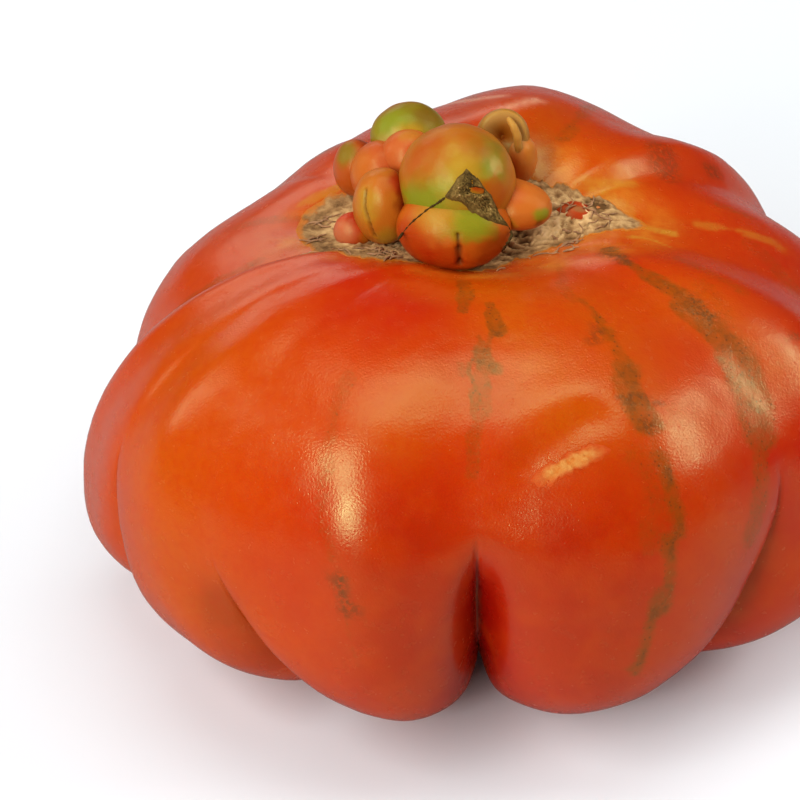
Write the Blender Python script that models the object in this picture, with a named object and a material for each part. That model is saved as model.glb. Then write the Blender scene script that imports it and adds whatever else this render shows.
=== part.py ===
"""A ribbed beefsteak tomato lying blossom end up: one lobed fruit with a long corky
blossom scar and a cluster of small fruitlets grown out of the scar."""
import math
from collections import namedtuple

import bmesh
import bpy
from mathutils import Matrix, Vector

# ---- driving dimensions (millimetres and degrees; azimuth 0 is the front, -Y, and 90 is +X) ----
METRES = 0.001              # the fruit is shaped in millimetres and scaled once, at the end
POLE_HEIGHT = 66.0          # height of the blossom end before the scar's dip
LOWER_FULLNESS = 2.4        # superellipse exponent of the underside
SLIT_ROUNDNESS = 3.4        # how squarely a lobe rolls into the slit beside it
SLIT_END, SLIT_FADE = -88.0, 30.0           # latitudes where slits run out at the stem scar
VALLEY_END, VALLEY_FADE = 72.0, 50.0        # latitudes where valleys run out towards both poles
POLE_FROM, POLE_SPAN = 55.0, 35.0           # latitudes over which crowns meet the pole's height

Lobe = namedtuple("Lobe", (
    "crown_azimuth foot_azimuth "       # its first groove, which drifts sideways on its way down
    "drift_from drift_span "            # latitudes over which that groove drifts
    "valley slit "                      # that groove's depths, shares of the radius
    "slit_latitude slit_onset "         # where its slit opens, and how gradually
    "reach crown waist "                # the lobe's radius, its height, and its widest level
    "fullness"                          # superellipse exponent of its shoulder
))

# The lobes in turn from the front groove through +X
LOBES = (
    Lobe(0.0, 1.0, 20.0, 70.0, 0.065, 0.42, 21.0, 34.0, 60.0, 68.5, 30.5, 2.9),
    Lobe(52.0, 30.0, 20.0, 70.0, 0.050, 0.40, 20.0, 50.0, 63.3, 69.5, 30.0, 2.6),
    Lobe(90.0, 75.0, 20.0, 70.0, 0.050, 0.40, 5.0, 50.0, 63.5, 68.0, 30.5, 2.3),
    Lobe(122.0, 108.0, 20.0, 70.0, 0.050, 0.40, 10.0, 50.0, 63.5, 72.0, 30.5, 2.3),
    Lobe(144.0, 142.0, 20.0, 70.0, 0.050, 0.40, 30.0, 50.0, 66.0, 74.0, 30.0, 2.3),
    Lobe(197.0, 195.0, 20.0, 70.0, 0.030, 0.40, 25.0, 50.0, 54.5, 71.0, 30.5, 2.3),
    Lobe(231.0, 240.0, 20.0, 70.0, 0.030, 0.40, 0.0, 50.0, 57.0, 66.0, 30.0, 2.3),
    Lobe(272.0, 258.0, 30.0, 70.0, 0.060, 0.40, 12.0, 40.0, 63.5, 70.0, 23.0, 2.3),
    Lobe(298.0, 301.0, 10.0, 50.0, 0.000, 0.28, 18.0, 36.0, 63.5, 69.5, 32.0, 2.5),
    Lobe(318.0, 336.0, 25.0, 60.0, 0.010, 0.42, 9.0, 40.0, 61.2, 68.0, 30.5, 2.9),
)

CAVITY_RADIUS, CAVITY_RISE = 18.0, 14.0     # hollow around the stem scar, underneath
SCAR_AT = (-2.0, 3.0)                       # centre of the blossom scar's dish
SCAR_HALF = (30.0, 16.0)                    # half length and half width of the dish
SCAR_DIP, DIP_ONSET = 6.0, 30.0             # its depth, and the latitude by which it counts in full
FLAT_CUT = 0.9                              # what the weight presses flat under each lobe

# Fruitlets on the scar: centre, three half axes, turn about Z, fineness
FRUITLETS = (
    ((-4.2, 3.6, 71.8), (8.9, 8.8, 8.9), 0.0, 3),
    ((-4.5, -1.6, 67.0), (8.7, 6.6, 6.5), 0.0, 3),
    ((-15.4, 3.0, 67.6), (4.6, 5.0, 6.2), 20.0, 2),
    ((-19.2, 3.4, 62.8), (2.9, 2.9, 2.9), 0.0, 2),
    ((-20.0, 14.0, 67.4), (3.6, 4.2, 4.6), 10.0, 2),
    ((-15.6, 10.5, 68.6), (5.2, 5.2, 5.4), 0.0, 2),
    ((-11.8, 10.2, 71.8), (4.4, 4.4, 4.4), 40.0, 2),
    ((-12.0, 16.0, 72.4), (6.0, 5.2, 5.0), 25.0, 2),
    ((7.0, 2.8, 66.6), (5.2, 4.6, 4.4), -20.0, 2),
    ((6.4, 12.0, 70.0), (3.0, 3.6, 5.0), 0.0, 2),
    ((14.0, 7.0, 62.6), (3.4, 2.4, 2.0), -15.0, 2),
)
CURL_AT, CURL_RADIUS, CURL_THICK = (3.6, 13.2, 74.2), 3.0, 1.25     # ear-shaped curl
CURL_LEAN = 56.0                                                    # axis leans off upright
CURL_AROUND, CURL_SECTION = 16, 8                                   # its facets

BLOCK_WIDTH, BLOCK_DEPTH = 200.0, 20.0      # cutter for the flat spots

# ---- mesh fineness ----
ACROSS_LOBE = (0.0, 0.03, 0.10, 0.21, 0.36, 0.5, 0.64, 0.79, 0.90, 0.97)
ROWS, LAST_LATITUDE = 30, 86.0

SKIN_RED = (0.72, 0.10, 0.02, 1.0)


def ease(t):
    t = min(max(t, 0.0), 1.0)
    return t * t * (3.0 - 2.0 * t)


def mix(a, b, t):
    return a * (1.0 - t) + b * t


def groove_azimuth(index, latitude):
    """Azimuth of a groove, which drifts sideways on its way to the foot."""
    turns, row = divmod(index, len(LOBES))
    lobe = LOBES[row]
    foot = ease((lobe.drift_from - latitude) / lobe.drift_span)
    return mix(lobe.crown_azimuth, lobe.foot_azimuth, foot) + 360.0 * turns


def lobe_blend(index, across, measure):
    """A lobe's own measure, easing half way to its neighbour's at their shared groove."""
    side = -1 if across < 0.5 else 1
    near = getattr(LOBES[(index + side) % len(LOBES)], measure)
    return mix(getattr(LOBES[index], measure), near, 0.5 * ease(abs(across - 0.5) * 2.0))


def groove_blend(index, across, measure):
    """A groove's measure, easing over the lobe to that of the groove on its other side."""
    after = LOBES[(index + 1) % len(LOBES)]
    return mix(getattr(LOBES[index], measure), getattr(after, measure), ease(across))


def groove_cut(index, across, latitude):
    """Share of the radius that valleys and slits take away at a point."""
    valley = groove_blend(index, across, "valley") * ease((VALLEY_END - abs(latitude)) / VALLEY_FADE)
    slit = groove_blend(index, across, "slit") * ease((latitude - SLIT_END) / SLIT_FADE)
    opens = groove_blend(index, across, "slit_latitude")
    slit *= ease((opens - latitude) / groove_blend(index, across, "slit_onset"))
    wave = 0.5 + 0.5 * math.cos(2.0 * math.pi * across)
    roll = 1.0 - (1.0 - abs(2.0 * across - 1.0) ** SLIT_ROUNDNESS) ** (1.0 / SLIT_ROUNDNESS)
    return valley * wave + slit * roll


def scar_dip(x, y):
    edge = math.hypot((x - SCAR_AT[0]) / SCAR_HALF[0], (y - SCAR_AT[1]) / SCAR_HALF[1])
    return SCAR_DIP * math.exp(-edge ** 2)


def skin_point(index, across, latitude):
    """Point of the skin on one lobe, at a share of its width."""
    start = groove_azimuth(index, latitude)
    azimuth = math.radians(mix(start, groove_azimuth(index + 1, latitude), across))
    cos_lat, sin_lat = math.cos(math.radians(latitude)), math.sin(math.radians(latitude))
    above = sin_lat >= 0.0
    reach = lobe_blend(index, across, "reach")
    waist = lobe_blend(index, across, "waist")
    near_pole = ease((latitude - POLE_FROM) / POLE_SPAN)
    crown = mix(lobe_blend(index, across, "crown"), POLE_HEIGHT, near_pole)
    half = crown - waist if above else waist
    power = lobe_blend(index, across, "fullness") if above else LOWER_FULLNESS
    radius = ((cos_lat / reach) ** power + (abs(sin_lat) / half) ** power) ** (-1.0 / power)
    radius *= 1.0 - groove_cut(index, across, latitude)
    flat, height = radius * cos_lat, waist + radius * sin_lat
    x, y = flat * math.sin(azimuth), -flat * math.cos(azimuth)
    if above:
        height -= scar_dip(x, y) * ease(latitude / DIP_ONSET)
    else:
        height += CAVITY_RISE * math.exp(-(flat / CAVITY_RADIUS) ** 2)
    return Vector((x, y, height))


def build_body():
    """The lobed fruit as a closed grid whose columns follow the grooves."""
    mesh = bmesh.new()
    rows = []
    for step in range(ROWS):
        latitude = mix(-LAST_LATITUDE, LAST_LATITUDE, step / (ROWS - 1))
        row = []
        for index in range(len(LOBES)):
            row += [mesh.verts.new(skin_point(index, u, latitude)) for u in ACROSS_LOBE]
        rows.append(row)
    count = len(rows[0])
    for low, high in zip(rows, rows[1:]):
        for i in range(count):
            j = (i + 1) % count
            mesh.faces.new((low[i], low[j], high[j], high[i]))
    foot = mesh.verts.new((0.0, 0.0, CAVITY_RISE))
    top = mesh.verts.new((0.0, 0.0, POLE_HEIGHT - scar_dip(0.0, 0.0)))
    for i in range(count):
        j = (i + 1) % count
        mesh.faces.new((foot, rows[0][j], rows[0][i]))
        mesh.faces.new((top, rows[-1][i], rows[-1][j]))
    bmesh.ops.recalc_face_normals(mesh, faces=mesh.faces)
    return finish_mesh(mesh, "tomato")


def finish_mesh(mesh, name):
    data = bpy.data.meshes.new(name)
    mesh.to_mesh(data)
    mesh.free()
    made = bpy.data.objects.new(name, data)
    bpy.context.scene.collection.objects.link(made)
    return made


def build_fruitlet(number, centre, half, turn, fineness):
    mesh = bmesh.new()
    bmesh.ops.create_icosphere(mesh, subdivisions=fineness, radius=1.0)
    size = Matrix.Diagonal((*half, 1.0))
    place = Matrix.Translation(centre)
    mesh.transform(place @ Matrix.Rotation(math.radians(turn), 4, "Z") @ size)
    return finish_mesh(mesh, "fruitlet_%02d" % number)


def build_curl():
    """The ear-shaped curl: a ring of flesh standing behind the main fruitlet."""
    mesh = bmesh.new()
    ring = []
    for i in range(CURL_AROUND):
        a = 2.0 * math.pi * i / CURL_AROUND
        loop = []
        for j in range(CURL_SECTION):
            b = 2.0 * math.pi * j / CURL_SECTION
            reach = CURL_RADIUS + CURL_THICK * math.cos(b)
            point = (reach * math.cos(a), reach * math.sin(a), CURL_THICK * math.sin(b))
            loop.append(mesh.verts.new(point))
        ring.append(loop)
    for i in range(CURL_AROUND):
        this, after = ring[i], ring[(i + 1) % CURL_AROUND]
        for j in range(CURL_SECTION):
            k = (j + 1) % CURL_SECTION
            mesh.faces.new((this[j], after[j], after[k], this[k]))
    place = Matrix.Translation(CURL_AT)
    mesh.transform(place @ Matrix.Rotation(math.radians(CURL_LEAN), 4, "X"))
    bmesh.ops.recalc_face_normals(mesh, faces=mesh.faces)
    return finish_mesh(mesh, "curl")


def build_ground_block(level):
    """Block below the resting level; what reaches into it is pressed flat."""
    mesh = bmesh.new()
    bmesh.ops.create_cube(mesh, size=1.0)
    size = Matrix.Diagonal((BLOCK_WIDTH, BLOCK_WIDTH, BLOCK_DEPTH, 1.0))
    mesh.transform(Matrix.Translation((0.0, 0.0, level - BLOCK_DEPTH / 2.0)) @ size)
    return finish_mesh(mesh, "ground_block")


def combine(target, tool, operation):
    tool.hide_render = True
    tool.display_type = "WIRE"
    step = target.modifiers.new(operation.lower(), "BOOLEAN")
    step.operation = operation
    step.solver = "EXACT"
    step.object = tool
    bpy.context.view_layer.objects.active = target
    bpy.ops.object.modifier_apply(modifier=step.name)
    bpy.data.objects.remove(tool, do_unlink=True)


def give_material(target, name, colour, roughness):
    skin = bpy.data.materials.new(name)
    skin.use_nodes = True
    shader = skin.node_tree.nodes["Principled BSDF"]
    shader.inputs["Base Color"].default_value = colour
    shader.inputs["Roughness"].default_value = roughness
    shader.inputs["Metallic"].default_value = 0.0
    target.data.materials.clear()
    target.data.materials.append(skin)


def settle(target):
    """Origin at the middle of the footprint, on the ground; millimetres become metres."""
    xs = [v.co.x for v in target.data.vertices]
    ys = [v.co.y for v in target.data.vertices]
    zs = [v.co.z for v in target.data.vertices]
    shift = Vector(((min(xs) + max(xs)) / 2.0, (min(ys) + max(ys)) / 2.0, min(zs)))
    target.data.transform(Matrix.Scale(METRES, 4) @ Matrix.Translation(-shift))
    return shift


def main():
    for old in list(bpy.data.objects):
        bpy.data.objects.remove(old, do_unlink=True)
    fruit = build_body()
    lowest = min(v.co.z for v in fruit.data.vertices)
    combine(fruit, build_ground_block(lowest + FLAT_CUT), "DIFFERENCE")
    for number, measures in enumerate(FRUITLETS):
        combine(fruit, build_fruitlet(number, *measures), "UNION")
    combine(fruit, build_curl(), "UNION")
    shift = settle(fruit)
    print("moved by", [round(s, 3) for s in shift])
    give_material(fruit, "tomato_skin", SKIN_RED, 0.28)
    for face in fruit.data.polygons:
        face.use_smooth = True


main()
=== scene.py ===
import math
import random
from collections import namedtuple

import bpy
import numpy as np
from mathutils import Euler, Matrix, Vector, noise
from mathutils.bvhtree import BVHTree


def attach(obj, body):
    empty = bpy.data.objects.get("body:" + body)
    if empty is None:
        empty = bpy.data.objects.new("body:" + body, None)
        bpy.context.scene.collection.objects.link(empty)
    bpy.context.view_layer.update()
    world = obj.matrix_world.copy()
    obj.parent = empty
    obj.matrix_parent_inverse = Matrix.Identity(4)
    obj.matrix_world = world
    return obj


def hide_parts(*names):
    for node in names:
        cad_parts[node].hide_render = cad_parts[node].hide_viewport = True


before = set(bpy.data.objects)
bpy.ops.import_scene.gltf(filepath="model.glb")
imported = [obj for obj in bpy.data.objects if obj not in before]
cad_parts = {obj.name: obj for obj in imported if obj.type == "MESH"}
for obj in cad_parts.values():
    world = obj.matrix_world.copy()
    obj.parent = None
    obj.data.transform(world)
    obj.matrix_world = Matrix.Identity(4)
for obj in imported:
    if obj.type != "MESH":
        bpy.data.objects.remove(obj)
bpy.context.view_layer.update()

# ---------------------------------------------------------------- measures
# The fruit is shaped in millimetres in its growing position and settled once, at the end.
# Azimuth 0 is the front, -Y, and 90 is +X.
METRES = 0.001
SETTLED = np.array((0.156, 2.956, 3.494))     # footprint's middle and resting level
POLE_HEIGHT = 66.0
LOWER_FULLNESS = 2.4
SLIT_ROUNDNESS = 3.4
SLIT_END, SLIT_FADE = -88.0, 30.0
VALLEY_END, VALLEY_FADE = 72.0, 50.0
POLE_FROM, POLE_SPAN = 55.0, 35.0
CAVITY_RADIUS, CAVITY_RISE = 18.0, 14.0
SCAR_AT, SCAR_HALF = (-2.0, 3.0), (30.0, 16.0)
SCAR_DIP, DIP_ONSET = 6.0, 30.0
HEART = Vector((0.0, 0.0, 30.0))            # inside point that marks are aimed from

Lobe = namedtuple("Lobe", (
    "crown_azimuth foot_azimuth drift_from drift_span "
    "valley slit slit_latitude slit_onset reach crown waist fullness"
))
LOBES = (
    Lobe(0.0, 1.0, 20.0, 70.0, 0.065, 0.42, 21.0, 34.0, 60.0, 68.5, 30.5, 2.9),
    Lobe(52.0, 30.0, 20.0, 70.0, 0.050, 0.40, 20.0, 50.0, 63.3, 69.5, 30.0, 2.6),
    Lobe(90.0, 75.0, 20.0, 70.0, 0.050, 0.40, 5.0, 50.0, 63.5, 68.0, 30.5, 2.3),
    Lobe(122.0, 108.0, 20.0, 70.0, 0.050, 0.40, 10.0, 50.0, 63.5, 72.0, 30.5, 2.3),
    Lobe(144.0, 142.0, 20.0, 70.0, 0.050, 0.40, 30.0, 50.0, 66.0, 74.0, 30.0, 2.3),
    Lobe(197.0, 195.0, 20.0, 70.0, 0.030, 0.40, 25.0, 50.0, 54.5, 71.0, 30.5, 2.3),
    Lobe(231.0, 240.0, 20.0, 70.0, 0.030, 0.40, 0.0, 50.0, 57.0, 66.0, 30.0, 2.3),
    Lobe(272.0, 258.0, 30.0, 70.0, 0.060, 0.40, 12.0, 40.0, 63.5, 70.0, 23.0, 2.3),
    Lobe(298.0, 301.0, 10.0, 50.0, 0.000, 0.28, 18.0, 36.0, 63.5, 69.5, 32.0, 2.5),
    Lobe(318.0, 336.0, 25.0, 60.0, 0.010, 0.42, 9.0, 40.0, 61.2, 68.0, 30.5, 2.9),
)


# ---------------------------------------------------------------- shape of the skin
def ease(share):
    """Smooth step from 0 to 1."""
    share = np.clip(share, 0.0, 1.0)
    return share * share * (3.0 - 2.0 * share)


def mix(first, second, share):
    return first * (1.0 - share) + second * share


def of_lobes(measure):
    return np.array([getattr(lobe, measure) for lobe in LOBES])


def groove_azimuth(index, latitude):
    """Azimuth of the groove before a lobe, which drifts sideways on its way to the foot."""
    turns, row = np.divmod(index, len(LOBES))
    foot = ease((of_lobes("drift_from")[row] - latitude) / of_lobes("drift_span")[row])
    return mix(of_lobes("crown_azimuth")[row], of_lobes("foot_azimuth")[row], foot) + 360.0 * turns


def lobe_blend(index, across, measure):
    """A lobe's own measure, easing half way to its neighbour's at their shared groove."""
    values = of_lobes(measure)
    near = values[(index + np.where(across < 0.5, -1, 1)) % len(LOBES)]
    return mix(values[index], near, 0.5 * ease(np.abs(across - 0.5) * 2.0))


def groove_blend(index, across, measure):
    """A groove's measure, easing over the lobe to that of the groove on its other side."""
    values = of_lobes(measure)
    return mix(values[index], values[(index + 1) % len(LOBES)], ease(across))


def groove_cut(index, across, latitude):
    """Share of the radius that valleys and slits take away."""
    valley = groove_blend(index, across, "valley") * ease((VALLEY_END - np.abs(latitude)) / VALLEY_FADE)
    slit = groove_blend(index, across, "slit") * ease((latitude - SLIT_END) / SLIT_FADE)
    opens = groove_blend(index, across, "slit_latitude")
    slit = slit * ease((opens - latitude) / groove_blend(index, across, "slit_onset"))
    wave = 0.5 + 0.5 * np.cos(2.0 * np.pi * across)
    share = np.clip(1.0 - np.abs(2.0 * across - 1.0) ** SLIT_ROUNDNESS, 0.0, 1.0)
    return valley * wave + slit * (1.0 - share ** (1.0 / SLIT_ROUNDNESS))


def skin_points(index, across, latitude):
    """Points of the bare skin, in millimetres, before dents and lumps."""
    start = groove_azimuth(index, latitude)
    azimuth = np.radians(mix(start, groove_azimuth(index + 1, latitude), across))
    cos_lat, sin_lat = np.cos(np.radians(latitude)), np.sin(np.radians(latitude))
    above = sin_lat >= 0.0
    reach, waist = lobe_blend(index, across, "reach"), lobe_blend(index, across, "waist")
    crown = mix(lobe_blend(index, across, "crown"), POLE_HEIGHT, ease((latitude - POLE_FROM) / POLE_SPAN))
    half = np.where(above, crown - waist, waist)
    power = np.where(above, lobe_blend(index, across, "fullness"), LOWER_FULLNESS)
    radius = ((np.abs(cos_lat) / reach) ** power + (np.abs(sin_lat) / half) ** power) ** (-1.0 / power)
    radius = radius * (1.0 - groove_cut(index, across, latitude))
    flat, height = radius * cos_lat, waist + radius * sin_lat
    x, y = flat * np.sin(azimuth), -flat * np.cos(azimuth)
    edge = np.hypot((x - SCAR_AT[0]) / SCAR_HALF[0], (y - SCAR_AT[1]) / SCAR_HALF[1])
    dip = SCAR_DIP * np.exp(-edge ** 2) * ease(latitude / DIP_ONSET)
    rise = CAVITY_RISE * np.exp(-(flat / CAVITY_RADIUS) ** 2)
    height = height + np.where(above, -dip, rise)
    return np.stack([x, y, height], -1)


# ---------------------------------------------------------------- mesh helpers
def vertices_of(piece):
    flat = np.empty(len(piece.data.vertices) * 3)
    piece.data.vertices.foreach_get("co", flat)
    return flat.reshape(-1, 3)


def move_vertices(piece, points):
    piece.data.vertices.foreach_set("co", np.asarray(points, float).ravel())
    piece.data.update()


def add_ball(name, segments, rings):
    """A unit ball primitive at the origin, ready to be shaped."""
    bpy.ops.object.select_all(action="DESELECT")
    bpy.ops.mesh.primitive_uv_sphere_add(segments=segments, ring_count=rings, radius=1.0)
    piece = bpy.context.active_object
    piece.name = piece.data.name = name
    return piece


def finish_piece(piece, material, replaces=None):
    """Settles a piece from growing millimetres to metres, and binds it to the frame."""
    move_vertices(piece, (vertices_of(piece) - SETTLED) * METRES)
    piece.data.materials.clear()
    piece.data.materials.append(material)
    for face in piece.data.polygons:
        face.use_smooth = True
    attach(piece, "root")
    if replaces:
        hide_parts(replaces)


def tree_of(pieces):
    """Surface of one or more pieces, in growing millimetres, to lay other things on."""
    points, faces = [], []
    for piece in pieces:
        first = len(points)
        points += [v.co.copy() for v in piece.data.vertices]
        faces += [[first + v for v in face.vertices] for face in piece.data.polygons]
    return BVHTree.FromPolygons(points, faces)


def aim(azimuth, elevation):
    """Direction of an azimuth and an elevation in degrees."""
    turn, tilt = math.radians(azimuth), math.radians(elevation)
    return Vector((math.sin(turn) * math.cos(tilt), -math.cos(turn) * math.cos(tilt), math.sin(tilt)))


def on_skin(surface, azimuth, elevation):
    """Point and normal of the skin seen from the fruit's heart in a direction."""
    point, normal, _, _ = surface.ray_cast(HEART, aim(azimuth, elevation))
    return point, normal


def ridged(point, scale, seed):
    """Ridged noise from 0 in the furrows to 1 on the crests."""
    return 1.0 - abs(noise.noise(Vector(point) * scale + Vector((seed, -seed, 2.0 * seed)))) * 2.0


# ---------------------------------------------------------------- materials
def srgb(red, green, blue):
    """Linear colour of a screen colour given from 0 to 255."""
    parts = [level / 255.0 for level in (red, green, blue)]
    linear = [part / 12.92 if part <= 0.04045 else ((part + 0.055) / 1.055) ** 2.4 for part in parts]
    return (*linear, 1.0)


FLESH_GLOW, FLESH_DEPTH = (1.0, 0.25, 0.08), 4.0   # how far red, green and blue light spread, in mm
WARM_GLOSS = (0.65, 1.0, 0.42, 1.0)


class Paint:
    """A material under construction, with short words for its nodes."""

    def __init__(self, name, roughness, subsurface=0.0):
        self.material = bpy.data.materials.new(name)
        self.material.use_nodes = True
        self.tree = self.material.node_tree
        self.shader = self.tree.nodes["Principled BSDF"]
        self.set_socket("Roughness", roughness)
        self.set_socket("Subsurface Weight", subsurface)
        self.set_socket("Subsurface Radius", FLESH_GLOW)
        self.set_socket("Subsurface Scale", FLESH_DEPTH * METRES)
        self.place = self.tree.nodes.new("ShaderNodeTexCoord").outputs["Object"]

    def set_socket(self, name, value):
        self.put(self.shader, name, value)

    def put(self, node, socket, value):
        """Gives a socket its value, or links it to another node's output."""
        if hasattr(value, "is_linked"):
            self.tree.links.new(value, node.inputs[socket])
        else:
            node.inputs[socket].default_value = value

    def noise(self, millimetres, detail=3.0, rough=0.55):
        node = self.tree.nodes.new("ShaderNodeTexNoise")
        self.put(node, "Vector", self.place)
        self.put(node, "Scale", 1.0 / (millimetres * METRES))
        self.put(node, "Detail", detail)
        self.put(node, "Roughness", rough)
        return node.outputs["Fac"]

    def cells(self, millimetres):
        """Distance from the nearest of many scattered points."""
        node = self.tree.nodes.new("ShaderNodeTexVoronoi")
        self.put(node, "Vector", self.place)
        self.put(node, "Scale", 1.0 / (millimetres * METRES))
        return node.outputs["Distance"]

    def maths(self, operation, first, second):
        node = self.tree.nodes.new("ShaderNodeMath")
        node.operation = operation
        self.put(node, 0, first)
        self.put(node, 1, second)
        return node.outputs[0]

    def between(self, value, low, high, out_low=0.0, out_high=1.0):
        """Smooth step of a value between two levels."""
        node = self.tree.nodes.new("ShaderNodeMapRange")
        node.interpolation_type = "SMOOTHSTEP"
        for socket, number in zip(range(5), (value, low, high, out_low, out_high)):
            self.put(node, socket, number)
        return node.outputs[0]

    def times(self, first, second):
        return self.maths("MULTIPLY", first, second)

    def swayed(self, value, sway, amount):
        """A value moved up or down by a noise."""
        return self.maths("ADD", value, self.times(self.maths("SUBTRACT", sway, 0.5), amount))

    def blend(self, share, first, second):
        node = self.tree.nodes.new("ShaderNodeMix")
        node.data_type = "RGBA"
        self.put(node, 0, share)
        self.put(node, 6, first)
        self.put(node, 7, second)
        return node.outputs[2]

    def mark(self, name):
        node = self.tree.nodes.new("ShaderNodeAttribute")
        node.attribute_name = name
        return node.outputs["Fac"]

    def bump(self, height, strength, depth, under=None):
        node = self.tree.nodes.new("ShaderNodeBump")
        self.put(node, "Height", height)
        self.put(node, "Strength", strength)
        self.put(node, "Distance", depth * METRES)
        if under:
            self.put(node, "Normal", under)
        return node.outputs[0]

    def ramp(self, value, stops):
        node = self.tree.nodes.new("ShaderNodeValToRGB")
        self.put(node, 0, value)
        bar = node.color_ramp
        while len(bar.elements) < len(stops):
            bar.elements.new(1.0)
        for element, (place, colour) in zip(bar.elements, stops):
            element.position = place
            element.color = colour
        return node.outputs["Color"]

    def tint(self):
        """Colour laid on the vertices."""
        node = self.tree.nodes.new("ShaderNodeAttribute")
        node.attribute_name = "tint"
        return node.outputs["Color"]


# ---------------------------------------------------------------- colours
RED, ORANGE, DEEP_RED = srgb(176, 24, 1), srgb(188, 58, 1), srgb(118, 3, 1)
# Crimson and the last colour here are painted shade in and beside the front slit.
TANGERINE, CRIMSON, SLIT_SHADE_RED = srgb(187, 82, 2), srgb(148, 4, 1), srgb(148, 26, 1)
SCARLET, SALMON, PINK = srgb(192, 44, 8), srgb(204, 84, 42), srgb(206, 108, 80)
OLIVE, BROWN = srgb(122, 64, 7), srgb(92, 44, 16)
LIME, PALE_LIME, OLIVE_GREEN = srgb(140, 146, 32), srgb(180, 152, 44), srgb(132, 118, 26)
YELLOW, AMBER = srgb(192, 146, 44), srgb(204, 118, 30)
# A pale pink painted sheen colour, then cream.
PAINTED_RIM_SHEEN, CREAM = srgb(222, 148, 112), srgb(220, 180, 128)
TAN, CORK, DRY_BROWN = srgb(180, 132, 88), srgb(146, 102, 64), srgb(120, 84, 50)


# ---------------------------------------------------------------- marks laid on vertices
def near_line(points, line):
    """Distance in millimetres from each point to a line of a few points."""
    best = np.full(len(points), 1e9)
    for start, end in zip(line[:-1], line[1:]):
        start, run = np.array(start), np.array(end) - np.array(start)
        along = np.clip((points - start) @ run / (run @ run), 0.0, 1.0)
        best = np.minimum(best, np.linalg.norm(points - start - along[:, None] * run, axis=1))
    return best


def near_stroke(points, surface, stroke):
    """Distance to a stroke given as (azimuth, elevation) pairs on the skin."""
    line = [on_skin(surface, *place)[0] for place in stroke]
    return near_line(points, line if len(line) > 1 else line * 2)


def laid(colours, colour, weight):
    """Colours with another laid over them by a weight for each vertex."""
    return colours * (1.0 - weight[:, None]) + np.array(colour) * weight[:, None]


def roughly(points, millimetres, seed=0.0, octaves=3):
    """Noise from about -1 to 1 at each point."""
    shift = Vector((seed, 2.3 * seed, -1.7 * seed))
    return np.array([noise.fractal(Vector(p) / millimetres + shift, 0.6, 2.0, octaves) for p in points])


def keep_mark(piece, name, weights):
    mark = piece.data.attributes.new(name, "FLOAT", "POINT")
    mark.data.foreach_set("value", np.ascontiguousarray(weights, dtype=np.float32))


def keep_tint(piece, colours):
    mark = piece.data.attributes.new("tint", "FLOAT_COLOR", "POINT")
    mark.data.foreach_set("color", np.ascontiguousarray(colours, dtype=np.float32).ravel())


def push(points, surface, furrow):
    """Presses a soft furrow, or a swelling if the depth is negative, along a stroke."""
    half_width, depth, *stroke = furrow
    shape = np.exp(-(near_stroke(points, surface, stroke) / half_width) ** 2)
    inwards = np.array(HEART) - points
    inwards /= np.linalg.norm(inwards, axis=1)[:, None]
    return points + inwards * (shape * depth)[:, None]


# ---------------------------------------------------------------- the tomato's body
COLUMNS, ROWS = 400, 220
GROOVE_CROWDING = 0.6                       # share by which columns crowd into the grooves
FLOOR_SOFTNESS = 0.6

# Strokes: half width, strength, then (azimuth, elevation) places from the fruit's heart.
OLIVE_STREAKS = (
    (1.2, 0.55, (347, 70), (352, 65), (353, 58)),
    (1.4, 0.85, (3, 57), (5, 53)),
    (0.8, 0.60, (359, 52), (2, 49)),
    (1.6, 0.80, (0, 49), (1, 46), (4, 45)),
    (0.4, 0.60, (358, 47), (357, 45), (359, 42), (359, 37)),
    (1.3, 0.45, (0, 44), (1, 38), (359, 34), (359, 29)),
    (0.8, 0.55, (3, 60), (4, 55), (2, 50), (1, 46), (2, 42)),
    (0.6, 0.45, (355, 46), (356, 44)),
    (1.0, 0.40, (58, 69), (45, 65), (36, 61), (33, 56)),
    (1.1, 0.60, (36, 56), (35, 52), (34, 48), (33, 44), (32, 41)),
    (2.4, 0.70, (32, 41), (30, 38), (30, 35)),
    (2.6, 0.70, (30, 36), (30, 33)),
    (1.0, 0.50, (29, 32), (29, 30), (29, 27)),
    (1.4, 0.80, (30, 27), (30, 23), (30, 19), (28, 15), (27, 11), (26, 8), (25, 4), (24, 1), (23, -3)),
    (2.6, 0.40, (26, 29), (27, 25), (26, 21), (25, 17)),
    (0.8, 0.45, (27, 14), (26, 10)),
    (1.4, 0.75, (80, 61), (72, 60), (66, 57), (63, 53)),
    (1.6, 0.65, (63, 53), (61, 47), (60, 42), (59, 38), (58, 34)),
    (1.5, 0.60, (58, 46), (57, 42), (56, 38), (56, 34)),
    (3.8, 0.60, (57, 35), (55, 31), (53, 27), (51, 24)),
    (2.4, 0.50, (51, 24), (48, 19), (46, 16), (43, 11)),
    (1.8, 0.40, (78, 49), (74, 44), (72, 40)),
    (2.2, 0.35, (68, 45), (63, 40), (60, 36)),
    (2.4, 0.35, (98, 36), (94, 32), (88, 28)),
    (1.5, 0.38, (332, 40), (334, 33), (336, 26), (338, 20), (340, 16)),
    (0.8, 0.35, (343, 8), (343, 3), (344, -2), (344, -6)),
    (2.4, 0.25, (292, 38), (303, 28), (308, 23), (311, 16)),
    (1.2, 0.50, (176, 62), (184, 42), (190, 22), (192, 0)),
    (2.0, 0.45, (212, 58), (216, 44), (220, 30), (224, 14)),
    (1.4, 0.45, (246, 56), (250, 36), (252, 14)),
    (1.6, 0.50, (150, 58), (156, 40), (158, 24), (156, 4)),
    (1.3, 0.40, (112, 38), (106, 22), (100, 4)),
    (1.6, 0.45, (270, 40), (272, 24), (270, 4)),
)
STREAK_WIDTH = 0.8
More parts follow.
